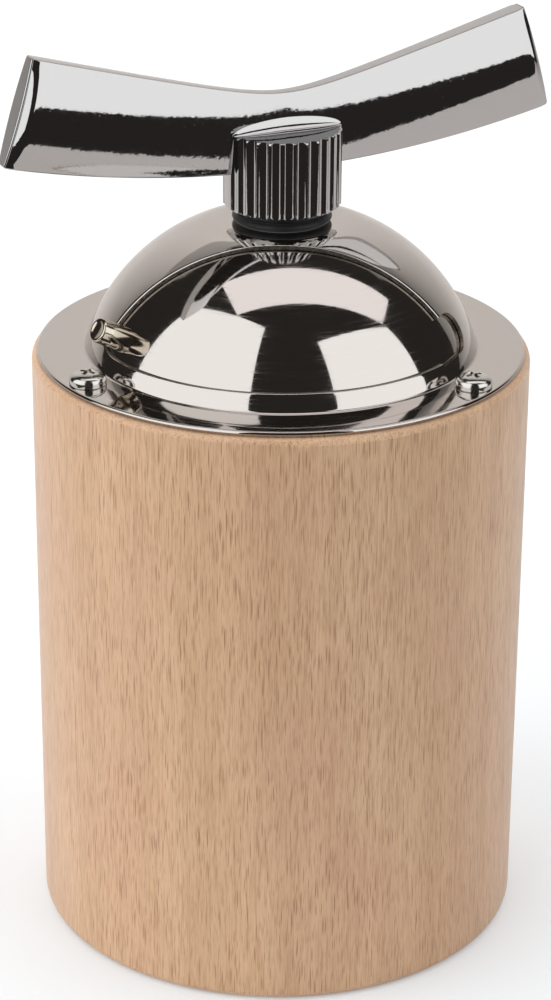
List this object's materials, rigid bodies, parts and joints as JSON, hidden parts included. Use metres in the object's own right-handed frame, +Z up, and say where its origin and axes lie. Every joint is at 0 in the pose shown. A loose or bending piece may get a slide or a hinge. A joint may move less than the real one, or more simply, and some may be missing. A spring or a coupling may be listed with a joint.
{
  "type": "flaxseed mill",
  "caption": "Hand cranked flaxseed mill: turned beech body, polished dome cover with a turning fill door, bow-tie crank handle, and a steel burr inside.",
  "frame": {"origin": "middle of the flat underside of the wooden body", "axes": "+Z up along the crank's axis; the filling window faces -Y; +X is to the right, seen from the front"},
  "size_m": [0.0748, 0.07, 0.1309],
  "materials": {
    "beech": "fine-sanded, oiled beech",
    "polished_steel": "mirror-polished stainless steel",
    "chromed_zinc": "chromed die casting",
    "nickelled_brass": "turned brass, nickel plated",
    "black_rubber": "matt",
    "bearing_brass": "turned",
    "white_plastic": "smooth",
    "dark_plastic": "fine moulded grain",
    "burr_steel": "ground and hardened",
    "plain_steel": "bright zinc plated"
  },
  "bodies": {
    "root": {"wooden_body": "beech", "dome_cover": "polished_steel", "cover_screws": "plain_steel", "neck_bush": "bearing_brass", "neck_seal": "black_rubber", "door_slide_washer": "white_plastic", "door_spring_washer": "plain_steel", "bush_nut": "plain_steel", "spring_top_washer": "plain_steel", "burr_housing": "dark_plastic", "housing_screws": "plain_steel", "stator_burr": "burr_steel", "stator_ring": "plain_steel", "lower_bridge": "plain_steel", "bridge_screws": "plain_steel", "lower_bush": "bearing_brass", "thrust_ball": "plain_steel", "thrust_screw": "plain_steel", "thrust_lock_nut": "plain_steel"},
    "door": {"fill_door": "polished_steel", "door_knob": "nickelled_brass", "knob_nut": "plain_steel"},
    "crank": {"crank_handle": "chromed_zinc", "handle_set_screw": "plain_steel", "drive_shaft": "plain_steel", "shaft_spring": "plain_steel", "spring_lower_washer": "plain_steel", "shaft_clip": "plain_steel", "rotor_burr": "burr_steel", "rotor_clip": "plain_steel"}
  },
  "joints": [
    {"name": "crank_spin", "type": "hinge", "parent": "root", "child": "crank", "pos_m": [0, 0, 0.1058], "axis": [0, 0, 1], "continuous": true},
    {"name": "door_turn", "type": "hinge", "parent": "root", "child": "door", "pos_m": [0, 0, 0.10285], "axis": [0, 0, 1], "range_deg": [-1.2, 127.9]}
  ]
}
